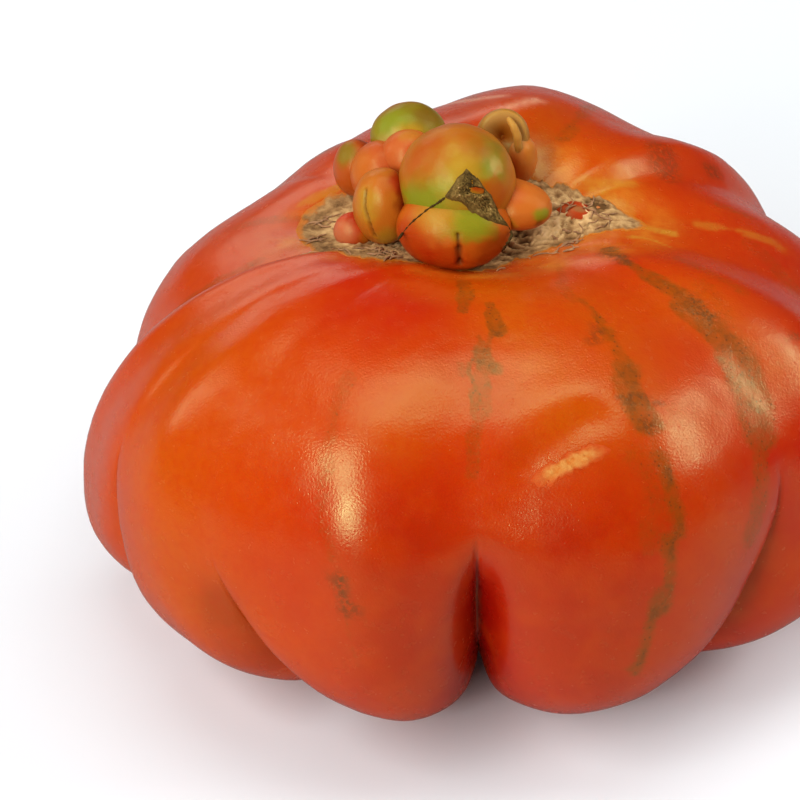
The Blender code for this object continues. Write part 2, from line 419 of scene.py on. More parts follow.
DARK_MARKS = (
    (0.9, 0.80, (341, 13), (342, 11)), (0.8, 0.70, (343, 9), (343, 8)),
    (0.35, 0.9, (5, 44.5), (5.3, 44.2)), (0.4, 0.7, (28, 37), (28.4, 36.8)),
    (0.4, 0.6, (30, 37), (30.4, 36.8)), (0.4, 0.8, (32.5, 36.4), (32.8, 36.2)),
    (0.5, 0.85, (33.5, 35.2), (33.9, 34.9)), (0.4, 0.8, (30, 33.4), (30.2, 33.1)),
    (0.5, 0.85, (29.6, 32.6), (29.8, 32.2)), (0.8, 0.55, (32, 50), (31.6, 49)),
    (0.7, 0.5, (29.6, 48.2), (29.2, 47.2)), (1.5, 0.55, (74, 61), (68, 58)),
    (0.7, 0.6, (62, 45), (60, 42)), (2.4, 0.5, (126, 44), (130, 44)), (1.2, 0.55, (127, 34), (127, 32)),
    (0.8, 0.6, (69, 31), (69.5, 30.5)), (0.9, 0.45, (60, 43), (60.5, 41)),
)
HALO = (
    (0.9, 0.90, (103, 55), (100, 52), (97, 49)), (0.45, 0.80, (94, 56), (92, 53), (88, 50)),
    (1.2, 0.70, (122, 60), (118, 57), (112, 55)), (1.0, 0.60, (130, 62), (125, 58), (123, 52)),
    (0.6, 0.70, (243, 43), (238, 47), (232, 50)), (0.8, 0.50, (103, 44), (102, 36), (101, 30)),
)
WASHES = (      # colour, then half width, strength and places as above
    (TANGERINE, 9.0, 0.75, (2, 66), (8, 56), (14, 44), (16, 36)),
    (TANGERINE, 7.0, 0.55, (36, 58), (34, 46), (30, 36)),
    (TANGERINE, 7.0, 0.60, (350, 40), (345, 34)),
    (TANGERINE, 12.0, 0.50, (302, 30), (310, 16), (316, 2)),
    (TANGERINE, 9.0, 0.60, (100, 58), (130, 60), (160, 58)),
    (TANGERINE, 6.0, 0.50, (60, 46), (62, 30)),
    (RED, 8.0, 0.80, (300, 60), (323, 52), (335, 56)),
    (RED, 9.0, 0.60, (14, 16), (15, 4)),
    (RED, 7.0, 0.6, (349, 22), (352, 0)),
    # Painted sheen: pale pink strokes near the rear top outline, where the skin catches light at a grazing
    # angle.
    (PAINTED_RIM_SHEEN, 1.1, 0.9, (173, 56), (169, 53), (166, 50)),
    (PAINTED_RIM_SHEEN, 0.9, 0.7, (189, 41), (183, 47), (176, 49)),
    # Painted shade: deep red down the lower grooves on the right and left, and darker red either side of
    # the front slit.
    (DEEP_RED, 7.0, 0.20, (44, 2), (46, -12)),
    (SLIT_SHADE_RED, 13.0, 0.50, (16, 20), (16, -4)),
    (SLIT_SHADE_RED, 11.0, 0.50, (350, 18), (350, -4)),
    (DEEP_RED, 4.0, 0.45, (322, 2), (326, -12)),
    (DEEP_RED, 5.0, 0.5, (270, 0), (272, -20)),
)
SCRATCH_AT = (15.3, 29.4)
DENT = (2.6, 0.9, (8.5, 30), (12.5, 32), (16, 34), (20, 35.5))      # half width, depth and places
DENT_BROW = (3.6, -0.3, (6, 35), (12, 38), (20, 40))
FRONT_FROM = -20.0                          # the front of the fruit is where y is under this
SLIT_X, SLIT_TOP, SLIT_FOOT, SLIT_TAPER = 0.9, 51.0, 4.0, 16.0
LIP_ROUNDING, LIP_HALF_WIDTH = 3.6, 2.6
PINCH, PINCH_TOP, PINCH_REACH = 0.5, 24.0, 5.0
WEB_DEPTH, WEB_FROM, WEB_REACH = 0.20, -18.0, 14.0      # the depth is a share of the radius
SCAR_RING_AT, SCAR_RING_HALF = (-2.5, 5.0), (27.0, 14.0)


def front_slit(points, half_width):
    """1 along the lips of the slit between the two front lobes, fading out sideways and at its top."""
    facing = np.where(points[:, 1] < FRONT_FROM, 1.0, 0.0)
    across = np.exp(-((points[:, 0] - SLIT_X) / half_width) ** 2)
    below_top = ease((SLIT_TOP - points[:, 2]) / SLIT_TAPER)
    return facing * across * below_top * ease((points[:, 2] - SLIT_FOOT) / SLIT_TAPER)


def open_slit(points):
    """Rounds the slit's lips inwards, and draws them together near the floor."""
    points[:, 1] += LIP_ROUNDING * front_slit(points, LIP_HALF_WIDTH)
    off = points[:, 0] - SLIT_X
    low = np.where(points[:, 1] < FRONT_FROM, ease((PINCH_TOP - points[:, 2]) / SLIT_TAPER), 0.0)
    points[:, 0] -= PINCH * off * np.exp(-(off / PINCH_REACH) ** 2) * low
    return points


def web_slit(points, cut):
    """Closes the deepest part of the front slit with a web of skin."""
    kept = WEB_DEPTH * np.tanh(cut / WEB_DEPTH)
    there = (points[:, 1] < WEB_FROM) & (np.abs(points[:, 0] - SLIT_X) < WEB_REACH)
    grown = np.where(there, (1.0 - kept) / (1.0 - cut), 1.0)
    middle = np.array((0.0, 0.0, LOBES[0].waist))
    return middle + (points - middle) * grown[:, None]


def body_points(unit):
    """Bare skin for the points of a unit ball, with how deep each is cut and its latitude."""
    latitude = np.degrees(np.arcsin(np.clip(unit[:, 2], -1.0, 1.0)))
    turns = np.degrees(np.arctan2(unit[:, 0], -unit[:, 1])) % 360.0 / 360.0 * len(LOBES)
    index = np.floor(turns).astype(int)
    across = turns - index
    across = across - GROOVE_CROWDING * np.sin(2.0 * np.pi * across) / (2.0 * np.pi)
    index = index % len(LOBES)
    return skin_points(index, across, latitude), groove_cut(index, across, latitude), latitude


def rest_on_floor(points):
    """Presses the foot flat, with a soft edge, at the level that the fruit rests on."""
    height = points[:, 2] - SETTLED[2]
    near = np.clip(FLOOR_SOFTNESS - np.abs(height), 0.0, None) / FLOOR_SOFTNESS
    points[:, 2] = np.maximum(height, 0.0) + near ** 2 * FLOOR_SOFTNESS / 4.0 + SETTLED[2]
    return points


def paint_body(piece, surface, points, cut, latitude):
    drift = roughly(points, 22.0, 3.0, 2)
    mottle = roughly(points, 6.0, 7.0, 3)
    side = points[:, 0] / 60.0
    redness = np.clip(0.45 + 0.35 * side + 0.45 * drift + 0.15 * mottle - 0.15 * latitude / 60.0, 0.0, 1.0)
    colours = laid(np.tile(np.array(ORANGE), (len(points), 1)), RED, redness)
    # Painted shade: deep red laid into the grooves and slits, by how deep they cut.
    colours = laid(colours, DEEP_RED, ease((cut - 0.06) / 0.26) * 0.85)
    for colour, half_width, strength, *stroke in WASHES:
        near = np.abs(near_stroke(points, surface, stroke) + min(1.5, 0.3 * half_width) * drift)
        colours = laid(colours, colour, strength * np.exp(-(near / half_width) ** 2))
    # Painted shade: red, then crimson, laid along the front slit and its lips, where the walls face each
    # other.
    colours = laid(colours, RED, 0.6 * front_slit(points, 7.0))
    colours = laid(colours, CRIMSON, 0.95 * front_slit(points, 4.4))
    away = np.hypot(*((points[:, i] - SCAR_RING_AT[i]) / SCAR_RING_HALF[i] for i in (0, 1)))
    ring = ease((1.35 - away) / 0.35) * np.where(latitude > 30.0, 1.0, 0.0)
    colours = laid(colours, AMBER, ring * np.clip(0.35 + 0.5 * mottle, 0.0, 0.8))
    for half_width, strength, *stroke in HALO:
        near = near_stroke(points, surface, stroke) + 0.9 * mottle
        colours = laid(colours, YELLOW, 0.6 * strength * ease(1.6 - near / half_width))
    streak = np.zeros(len(points))
    for half_width, strength, *stroke in OLIVE_STREAKS:
        near = near_stroke(points, surface, stroke) + 0.7 * mottle
        streak = np.maximum(streak, strength * ease(1.7 - near / (STREAK_WIDTH * half_width)))
    dark = np.zeros(len(points))
    for half_width, strength, *stroke in DARK_MARKS:
        near = near_stroke(points, surface, stroke) + 0.4 * mottle
        dark = np.maximum(dark, strength * ease(1.7 - near / half_width))
    keep_tint(piece, colours)
    keep_mark(piece, "streak", streak)
    keep_mark(piece, "dark", dark)


def grow_body():
    body = add_ball("tomato_body", COLUMNS, ROWS)
    points, cut, latitude = body_points(vertices_of(body))
    points = web_slit(points, cut)
    move_vertices(body, points)
    bare = tree_of([body])
    points = push(points, bare, DENT)
    points = push(points, bare, DENT_BROW)
    points = open_slit(points)
    outwards = points - np.array(HEART)
    outwards /= np.linalg.norm(outwards, axis=1)[:, None]
    waviness = 0.20 * roughly(points, 14.0, 1.0, 2) + 0.05 * roughly(points, 3.5, 5.0, 2)
    points = rest_on_floor(points + outwards * waviness[:, None])
    move_vertices(body, points)
    paint_body(body, bare, points, cut, latitude)
    return body


# ---------------------------------------------------------------- patches laid on a surface
CAST_FROM = 40.0                            # how far out a surface is looked for
PATCH_BEDDING = 0.03


def lay_patch(name, surface, plane, borders, build, fineness):
    """A closed flat piece laid on a surface, between two borders drawn on a plane.

    The plane is an origin, a direction to the right and one outwards. The borders are
    (right, up) points in millimetres from the origin, both from the left end to the right
    end, then how ragged they are. The build is a thickness, how far the piece sinks in,
    and a function that gives the relief's height for a plane place.
    """
    origin, right, outwards = plane
    far_side, near_side, ragged = borders
    thickness, sink, relief = build
    piece = add_ball(name, *fineness)
    unit = vertices_of(piece)
    polar = np.arccos(np.clip(np.abs(unit[:, 2]), 0.0, 1.0)) / (0.5 * np.pi)
    round_way = np.arctan2(unit[:, 1], unit[:, 0])
    along, aside = polar * np.cos(round_way), polar * np.sin(round_way)
    room = 1.0 - along * along
    left, end = far_side[0][0], far_side[-1][0]
    across = mix(left, end, 0.5 + 0.5 * np.clip(along, -1.0, 1.0))
    share = 0.5 + 0.5 * np.clip(aside / np.sqrt(np.clip(room, 1e-6, None)), -1.0, 1.0)
    torn = np.array([
        noise.fractal(Vector((0.7 * x, 1.4 * side, 0.0)), 0.7, 2.0, 3) for x, side in zip(across, share)])
    near_border = np.sqrt(np.clip(room, 0.0, 1.0)) * np.abs(2.0 * share - 1.0)
    near_y, far_y = np.interp(across, *zip(*near_side)), np.interp(across, *zip(*far_side))
    upwards = mix(near_y, far_y, share) + ragged * torn * near_border
    outwards, right = Vector(outwards).normalized(), Vector(right).normalized()
    up = outwards.cross(right)
    points, crest = [], []
    for x, y, edge, is_top in zip(across, upwards, polar, unit[:, 2] > 1e-6):
        place = Vector(origin) + right * x + up * y
        hit, _, _, _ = surface.ray_cast(place + outwards * CAST_FROM, -outwards)
        height = relief(x, y) * (1.0 - 0.8 * edge ** 4)
        crest.append(height)
        rise = (thickness + height if is_top else -sink) * (1.0 - edge ** 6)
        points.append((hit or place) + outwards * (rise - PATCH_BEDDING))
    move_vertices(piece, np.array(points))
    keep_mark(piece, "crest", np.array(crest))
    keep_mark(piece, "border", polar)
    return piece


def cork_relief(middle, coarse, height, seed):
    """Relief of corky skin: furrows running out from a middle, with pits between."""
    def relief(x, y):
        angle = math.atan2(y - middle[1], x - middle[0])
        away = math.hypot(x - middle[0], (y - middle[1]) * 1.6)
        bend = 0.35 * noise.noise((x / 4.0, y / 4.0, seed))
        turn = Vector((math.cos(angle + bend), math.sin(angle + bend), 0.0)) * coarse
        rays = ridged((turn.x, turn.y, away * 0.16), 1.0, seed)
        crumbs = ridged((x, y, 0.0), 0.85, seed + 3.0)
        grain = noise.noise((x * 2.2, y * 2.2, seed + 5.0))
        return height * (0.75 * rays + 0.45 * crumbs + 0.30 * grain)
    return relief


def lay_blossom_scar(body_tree):
    far_side = (
        (-29.5, 8.0), (-28.4, 13.0), (-24.0, 16.0), (-21.0, 15.0), (-15.0, 19.0), (-6.0, 20.0),
        (2.0, 17.5), (9.0, 13.0), (15.3, 11.3), (19.0, 11.1), (21.4, 8.6), (24.6, 6.6), (25.5, 5.2),
    )
    near_side = (
        (-29.5, 7.4), (-27.8, 2.0), (-24.6, -4.0), (-20.3, -7.0), (-16.0, -7.9), (-12.5, -7.0),
        (-9.0, -6.4), (0.0, -6.0), (4.6, -2.4), (8.1, -0.8), (11.3, 1.0), (15.8, 3.0), (18.7, 3.8),
        (23.8, 3.6), (25.5, 5.0),
    )
    relief = cork_relief((-3.0, 4.0), 7.0, 0.80, 2.0)
    return lay_patch(
        "blossom_scar", body_tree, ((0.0, 0.0, 62.0), (1, 0, 0), (0, 0, 1)),
        (far_side, near_side, 1.3), (0.25, 1.5, relief), (360, 130))


def lay_seam_triangle(fruitlet_tree):
    """Dry corky triangle where three fruitlets meet."""
    far_side = ((-4.5, -0.3), (-1.5, 3.9), (-1.2, 4.0), (0.4, 2.5), (2.6, 0.2), (3.7, -2.2), (5.4, -4.2))
    near_side = ((-4.5, -0.5), (-1.8, -1.3), (0.4, -3.0), (3.0, -3.9), (5.4, -4.5))
    cork = cork_relief((-9.0, 9.0), 9.0, 0.50, 9.0)

    def relief(x, y):
        hole = math.exp(-((x - 0.5) / 1.0) ** 4 - ((y - 0.7) / 0.45) ** 4)
        speckle = 0.34 * noise.noise((x * 4.5, y * 4.5, 3.0))
        return (cork(x, y) + speckle) * (1.0 - hole) - 0.7 * hole
    return lay_patch(
        "seam_triangle", fruitlet_tree, (TRIANGLE_AT, (1, 0, 0), FACING),
        (far_side, near_side, 0.34), (0.12, 0.8, relief), (160, 80))


def lay_healed_scratch(body_tree):
    at, normal = on_skin(body_tree, *SCRATCH_AT)
    right = Vector((0.93, 0.22, 0.32)).normalized()
    right = (right - normal * right.dot(normal)).normalized()
    far_side = (
        (-6.6, -0.2), (-4.8, 1.5), (-3.0, 1.7), (-1.2, 1.6), (0.6, 1.7), (2.4, 2.2), (4.4, 2.0),
        (6.4, 0.3),
    )
    near_side = (
        (-6.6, -0.4), (-4.6, -1.9), (-2.6, -1.7), (-1.0, -1.1), (0.8, -1.2), (2.6, -0.9), (4.4, -1.0),
        (6.4, 0.1),
    )
    relief = cork_relief((0.0, 6.0), 6.0, 0.22, 4.0)
    return lay_patch(
        "healed_scratch", body_tree, (at, right, normal),
        (far_side, near_side, 0.6), (0.02, 0.6, relief), (120, 40))


def lay_stem_scar(body_tree):
    far_side = ((-6.8, 0.2), (-5.6, 3.9), (-3.0, 5.9), (0.0, 6.7), (3.4, 5.9), (5.9, 3.3), (6.7, 0.3))
    near_side = (
        (-6.8, -0.2), (-5.2, -4.2), (-2.6, -6.2), (0.5, -6.6), (3.8, -5.5), (5.8, -3.0), (6.7, -0.2),
    )

    def relief(x, y):
        away = math.hypot(x, y)
        rings = 0.5 * math.cos(away * 1.9) + 0.3 * noise.noise((x * 0.9, y * 0.9, 1.0))
        return 0.35 * rings + 0.25 * ridged((x, y, 0.0), 0.8, 6.0) - 0.8 * math.exp(-(away / 2.0) ** 2)
    return lay_patch(
        "stem_scar", body_tree, ((0.0, 0.0, 10.0), (1, 0, 0), (0, 0, -1)),
        (far_side, near_side, 0.6), (0.3, 1.2, relief), (140, 70))


# ---------------------------------------------------------------- fruitlets on the scar
# Azimuths and elevations on a fruitlet are seen from its own middle. A patch is an azimuth, an
# elevation, a radius in degrees, a colour and a strength. A furrow is a half width, a depth and
# (azimuth, elevation) places.
FACING = (0.0, -0.80, 0.60)
TRIANGLE_AT = (-1.5, -4.3, 74.5)
Fruitlet = namedtuple("Fruitlet", "name centre half turn fineness base patches furrows", defaults=((),))
FRUITLETS = (
    Fruitlet(
        "fruitlet_crown", (-4.2, 3.6, 71.8), (8.9, 8.8, 8.9), 0.0, (150, 96), srgb(190, 112, 34),
        ((-6, 30, 32, PALE_LIME, 0.85), (-34, 6, 26, LIME, 0.95), (24, 25, 9, ORANGE, 0.9),
            (-46, -8, 18, LIME, 0.60), (2, 58, 18, YELLOW, 0.75), (-52, 46, 26, ORANGE, 0.55),
            (64, 46, 26, OLIVE_GREEN, 0.75), (48, 34, 18, LIME, 0.65), (56, 36, 8, CREAM, 0.45),
            (42, 14, 17, TANGERINE, 0.85), (40, 66, 18, TANGERINE, 0.50), (80, 16, 20, AMBER, 0.60),
            (14, 44, 14, YELLOW, 0.6), (180, 40, 40, TANGERINE, 0.6), (150, 0, 30, LIME, 0.5),
            (230, 10, 30, AMBER, 0.6))),
    Fruitlet(
        "fruitlet_front", (-4.5, -1.6, 67.0), (8.7, 6.6, 6.5), 0.0, (140, 90), srgb(202, 96, 24),
        ((-4, 56, 34, PALE_LIME, 0.90), (22, 36, 22, LIME, 0.80), (40, 26, 14, LIME, 0.50),
            (-30, 40, 22, AMBER, 0.6), (-51, -4, 32, RED, 0.65), (-10, -20, 26, RED, 0.60),
            (50, -10, 26, DEEP_RED, 0.50)),
        ((0.22, 0.8, (5, 24), (6, 8)), (0.42, 1.2, (6, 4), (8, -26)))),
    Fruitlet(
        "fruitlet_left", (-15.4, 3.0, 67.6), (4.6, 5.0, 6.2), 20.0, (90, 60), srgb(200, 110, 32),
        ((50, 50, 22, RED, 0.9), (64, 24, 28, DEEP_RED, 0.85), (36, 18, 22, DEEP_RED, 0.9),
            (32, -8, 20, DEEP_RED, 0.8), (-56, 24, 24, YELLOW, 0.75), (-10, -30, 20, YELLOW, 0.7),
            (-10, 62, 18, SALMON, 0.4)),
        ((0.18, 0.7, (-50, 44), (-40, 22), (-26, 0), (-14, -27)),)),
    Fruitlet(
        "fruitlet_bead", (-19.9, 3.0, 63.0), (3.1, 2.9, 2.9), 0.0, (60, 40), srgb(206, 62, 20),
        ((-44, 20, 46, PINK, 1.0), (50, -4, 30, AMBER, 0.8), (0, 74, 24, RED, 0.6))),
    Fruitlet(
        "fruitlet_rear_left", (-20.0, 14.0, 67.4), (3.6, 4.2, 4.6), 10.0, (70, 46), srgb(190, 82, 24),
        ((-64, 56, 26, OLIVE_GREEN, 0.8), (67, 47, 30, SCARLET, 0.5), (14, 20, 24, AMBER, 0.6))),
    Fruitlet(
        "fruitlet_bridge", (-15.6, 10.5, 68.6), (5.2, 5.2, 5.4), 0.0, (70, 46), srgb(202, 92, 42),
        ((0, 50, 36, SALMON, 0.7), (60, 0, 30, SCARLET, 0.5), (-60, 30, 30, AMBER, 0.5))),
    Fruitlet(
        "fruitlet_salmon", (-11.8, 10.2, 71.8), (4.4, 4.4, 4.4), 40.0, (80, 52), srgb(206, 98, 50),
        ((-10, 40, 30, SALMON, 0.8), (60, 20, 24, SCARLET, 0.5), (0, 84, 20, YELLOW, 0.4))),
    Fruitlet(
        "fruitlet_rear_green", (-12.0, 16.0, 72.4), (6.0, 5.2, 5.0), 25.0, (90, 60), srgb(152, 126, 26),
        ((60, 84, 34, OLIVE_GREEN, 0.7), (-60, 46, 30, LIME, 0.9), (-20, 24, 26, YELLOW, 0.9),
            (-50, 14, 22, CREAM, 0.45), (45, 54, 22, OLIVE, 0.5), (180, 20, 50, ORANGE, 0.6))),
    Fruitlet(
        "fruitlet_right", (4.0, 3.2, 68.3), (6.5, 4.8, 3.6), -20.0, (90, 60), srgb(208, 110, 42),
        ((0, 60, 26, SALMON, 0.7), (66, 10, 15, LIME, 0.9), (-44, -4, 24, YELLOW, 1.0),
            (-5, -14, 24, YELLOW, 0.9), (-60, 40, 22, RED, 0.6), (60, -14, 8, BROWN, 0.6))),
    Fruitlet(
        "curl_lobe", (5.4, 12.2, 70.8), (2.7, 3.2, 4.0), 0.0, (60, 40), srgb(220, 126, 60),
        ((-30, 10, 24, SCARLET, 0.5), (50, 30, 24, AMBER, 0.7), (-20, 60, 20, CREAM, 0.4))),
    Fruitlet(
        "cork_bead", (13.8, 8.6, 63.2), (3.6, 2.4, 1.9), -15.0, (60, 40), srgb(186, 58, 22),
        ((-20, 50, 24, SALMON, 0.4), (40, 60, 14, CORK, 0.6))),
)
CURL_AT, CURL_HALF = (2.6, 13.0, 74.0), (4.2, 3.4, 4.8)
CURL_OPENING, CURL_HOLLOW = 43.0, 0.80
FRUITLET_DEPTH = (0.80, 0.76, 0.50, 1.0)    # deepens every fruitlet's colours alike
CURL_RIDGE = (
    (3.3, 12.0, 78.2), (4.2, 10.9, 77.4), (4.8, 10.5, 76.0), (5.0, 10.3, 74.4), (5.2, 10.4, 72.8),
    (5.3, 11.0, 71.6),
)


def toward(azimuth, elevation):
    return np.array(aim(azimuth, elevation))


def shaped_ball(name, centre, half, turn, fineness, lumpy=0.10):
    ball = add_ball(name, *fineness)
    unit = vertices_of(ball)
    turned = np.array(Matrix.Rotation(math.radians(turn), 3, "Z"))
    points = (unit * np.array(half)) @ turned.T + np.array(centre)
    points += unit * (lumpy * roughly(points, 3.0, 2.0, 2))[:, None]
    return ball, unit, points


def paint_patches(unit, base, patches, mottle):
    colours = np.tile(np.array(base), (len(unit), 1))
    for azimuth, elevation, radius, colour, strength in patches:
        angle = np.degrees(np.arccos(np.clip(unit @ toward(azimuth, elevation), -1.0, 1.0)))
        weight = strength * ease(1.5 - (angle + 7.0 * mottle) / radius)
        colours = laid(colours, colour, weight)
    return colours * np.array(FRUITLET_DEPTH)


def grow_fruitlet(item):
    ball, unit, points = shaped_ball(item.name, item.centre, item.half, item.turn, item.fineness)
    mottle = roughly(points, 2.4, 4.0, 3)
    colours = paint_patches(unit, item.base, item.patches, mottle)
    for half_width, depth, *line in item.furrows:
        line = [toward(*place) * np.array(item.half) + np.array(item.centre) for place in line]
        shape = np.exp(-(near_line(points, line) / half_width) ** 2)
        points -= unit * (depth * shape)[:, None]
        # Painted shade: brown laid along the furrow, as deep as it is pressed.
        colours = laid(colours, BROWN, 0.9 * shape ** 0.7)
    move_vertices(ball, points)
    keep_tint(ball, colours)
    return ball


def grow_curl():
    """Ear-shaped fruitlet: a ball with a deep hollow that faces forwards."""
    ball, unit, points = shaped_ball("curl", CURL_AT, CURL_HALF, 0.0, (120, 80), 0.05)
    angle = np.degrees(np.arccos(np.clip(unit @ toward(4, 30), -1.0, 1.0)))
    hollow = ease(1.45 - angle / CURL_OPENING)
    middle = np.array(CURL_AT)
    points = middle + (points - middle) * (1.0 - CURL_HOLLOW * hollow)[:, None]
    colours = np.tile(np.array(srgb(184, 124, 48)), (len(points), 1))
    # Painted shade: darker orange laid inside the hollow.
    colours = laid(colours, srgb(176, 88, 20), hollow)
    colours = laid(colours, CREAM, 0.35 * np.exp(-((angle - 52.0) / 9.0) ** 2))
    move_vertices(ball, points)
    keep_tint(ball, colours * np.array(FRUITLET_DEPTH))
    return ball


def grow_curl_fold():
    """Soft ridge that runs down through the curl's hollow."""
    ball = add_ball("curl_fold", 20, 40)
    unit = vertices_of(ball)
    bend_along(ball, CURL_RIDGE, 0.65, 0.5, 0.06, 2.0)
    colours = paint_patches(unit, srgb(204, 146, 74), ((0, 50, 40, CREAM, 0.3),), roughly(unit, 0.5, 3.0))
    keep_tint(ball, colours)
    return ball


# ---------------------------------------------------------------- dry fibres
FIBRE_STEPS, FIBRE_JUMP, FIBRE_CEILING = 7, 0.8, 69.0
DROPPED_FROM = 110.0


def bend_along(piece, path, thickness, fullness, wobble, seed):
    """Bends a ball into a strand along a path, tapered at both ends."""
    unit = vertices_of(piece)
    path = np.array(path, float)
    length = np.concatenate([[0.0], np.cumsum(np.linalg.norm(np.diff(path, axis=0), axis=1))])
    along = (unit[:, 2] * 0.5 + 0.5) * length[-1]
    middle, ahead, behind = [
        np.stack([np.interp(along + step, length, path[:, i]) for i in range(3)], -1)
        for step in (0.0, 0.2, -0.2)]
    forward = ahead - behind
    forward /= np.linalg.norm(forward, axis=1)[:, None] + 1e-9
    side = np.cross(forward, np.array(FACING) + np.array((0.0, 0.3, 0.5)))
    side /= np.linalg.norm(side, axis=1)[:, None] + 1e-9
    up = np.cross(side, forward)
    wide = np.clip(np.hypot(unit[:, 0], unit[:, 1]), 1e-6, 1.0)
    lumps = 1.0 + wobble * np.array([noise.noise((s * 2.1, seed, 0.5)) for s in along])
    scale = (thickness * wide ** fullness / wide * lumps)[:, None]
    points = middle + (side * unit[:, :1] + up * unit[:, 1:2]) * scale
    move_vertices(piece, points)


def join_pieces(name, pieces):
    bpy.ops.object.select_all(action="DESELECT")
    for piece in pieces:
        piece.select_set(True)
    bpy.context.view_layer.objects.active = pieces[0]
    bpy.ops.object.join()
    pieces[0].name = pieces[0].data.name = name
    return pieces[0]


def dropped(surface, x, y, lift):
    hit, _, _, _ = surface.ray_cast(Vector((x, y, DROPPED_FROM)), Vector((0, 0, -1)))
    return hit + Vector((0, 0, lift)) if hit else None


def fibre_path(surface, chance, x, y, heading, length, curl):
    path = []
    for step in range(FIBRE_STEPS):
        share = step / (FIBRE_STEPS - 1)
        lift = 0.06 + chance.uniform(0.0, 0.14)
        lift += 0.20 * math.sin(math.pi * share) * chance.uniform(0.2, 1.0)
        point = dropped(surface, x, y, lift)
        if point is None or point.z > FIBRE_CEILING:
            return None
        if path and abs(point.z - path[-1].z) > FIBRE_JUMP:
            return None
        path.append(point)
        heading += curl + chance.uniform(-0.45, 0.45)
        x += math.cos(heading) * length / FIBRE_STEPS
        y += math.sin(heading) * length / FIBRE_STEPS
    return path


def scatter_fibres(surface):
    """Dry threads that curl over the scar, thickest along its near border."""
    chance = random.Random(11)
    regions = (   # count, x range, y range, heading in degrees, spread
        (24, (-25.0, -9.0), (-5.0, 3.0), 215.0, 40.0),
        (14, (-26.0, -21.0), (2.0, 12.0), 180.0, 40.0),
        (26, (-12.0, 4.0), (-6.3, -4.6), 176.0, 14.0),
        (24, (4.0, 14.0), (-2.2, 1.6), 22.0, 14.0),
        (18, (9.0, 20.0), (3.0, 9.0), 5.0, 45.0),
        (20, (-18.0, -10.0), (-5.6, -2.0), 235.0, 25.0),
    )
    strands = []
    for count, x_range, y_range, heading, spread in regions:
        for _ in range(count):
            length = chance.uniform(1.4, 4.0)
            turn = math.radians(heading + chance.uniform(-spread, spread))
            x, y = chance.uniform(*x_range), chance.uniform(*y_range)
            path = fibre_path(surface, chance, x, y, turn, length, chance.uniform(-0.3, 0.3))
            if path is None:
                continue
            piece = add_ball("strand", 6, 9)
            bend_along(piece, path, chance.uniform(0.08, 0.20), 0.7, 0.5, chance.uniform(0.0, 9.0))
            strands.append(piece)
    return join_pieces("scar_fibres", strands)


def across_view(surface, right, up, lift):
    """Point on a surface behind a place in the plane that faces the fruitlets."""
    facing = Vector(FACING).normalized()
    place = Vector(TRIANGLE_AT) + Vector((1, 0, 0)) * right + facing.cross(Vector((1, 0, 0))) * up
    hit, _, _, _ = surface.ray_cast(place + facing * CAST_FROM, -facing)
    return (hit or place) + facing * lift


def lay_seam(surface):
    """Corky seam between the crown fruitlet and the front one."""
    lines = (
        ((-4.3, -0.4), (-5.4, -1.2), (-6.6, -1.9), (-7.6, -2.7),
         (-8.6, -3.5), (-9.6, -4.4), (-10.6, -5.6), (-11.2, -6.8)),
        ((5.2, -4.3), (5.6, -4.9), (5.7, -5.8), (5.2, -6.9), (4.3, -7.9)),
    )
    seams = []
    for number, line in enumerate(lines):
        path = [across_view(surface, right, up, 0.02) for right, up in line]
        piece = add_ball("seam", 10, 70)
        bend_along(piece, path, 0.17, 0.35, 1.1, 3.0 + number)
        seams.append(piece)
    return join_pieces("fruitlet_seam", seams)


# ---------------------------------------------------------------- finishes
def streaked_colour(paint, colour):
    """Mottling, olive streaks with dark specks, dark marks and pale breathing pores over a colour."""
    fine, broad = paint.noise(1.1, 4.0, 0.6), paint.noise(7.0, 3.0, 0.5)
    torn, worn = paint.noise(0.8, 5.0, 0.8), paint.noise(2.6, 4.0, 0.7)
    colour = paint.blend(paint.between(broad, 0.40, 0.68, 0.0, 0.35), colour, ORANGE)
    colour = paint.blend(paint.between(fine, 0.42, 0.72, 0.0, 0.22), colour, RED)
    edge = paint.swayed(paint.mark("streak"), torn, 0.7)
    streak = paint.between(edge, 0.20, 0.75, 0.0, 0.70)
    colour = paint.blend(paint.times(streak, paint.between(worn, 0.32, 0.56, 0.55, 1.0)), colour, OLIVE)
    flecks = paint.between(edge, 0.48, 0.80)
    colour = paint.blend(paint.times(flecks, paint.between(worn, 0.48, 0.62, 0.0, 0.45)), colour, BROWN)
    specks = paint.between(paint.cells(0.9), 0.10, 0.26, 1.0, 0.0)
    colour = paint.blend(paint.times(specks, paint.between(edge, 0.25, 0.6, 0.0, 0.75)), colour, BROWN)
    dark = paint.times(paint.mark("dark"), paint.between(torn, 0.40, 0.55))
    colour = paint.blend(dark, colour, BROWN)
    pores = paint.between(paint.cells(1.9), 0.03, 0.09, 1.0, 0.0)
    rare = paint.between(paint.noise(1.5), 0.50, 0.68)
    return paint.blend(paint.times(paint.times(pores, rare), 0.30), colour, AMBER)


def skin_finish(name, grain, is_body, subsurface):
    """Glossy thin skin over flesh. The body's is streaked and glossier than the fruitlets'."""
    paint = Paint(name, 0.36, subsurface)
    paint.set_socket("Specular IOR Level", 0.54 if is_body else 0.34)
    paint.set_socket("Specular Tint", WARM_GLOSS)
    colour = paint.tint()
    paint.set_socket("Base Color", streaked_colour(paint, colour) if is_body else colour)
    smooth, rough = (0.21, 0.28) if is_body else (0.34, 0.42)
    paint.set_socket("Roughness", paint.between(paint.noise(2.5), 0.3, 0.7, smooth, rough))
    pits = paint.between(paint.cells(1.1), 0.04, 0.16, 0.45, 0.0)
    peel = paint.bump(paint.maths("SUBTRACT", paint.noise(grain, 2.0, 0.5), pits), 0.78, 0.046)
    paint.set_socket("Normal", paint.bump(paint.noise(2.6, 2.0), 0.20, 0.10, peel))
    return paint.material


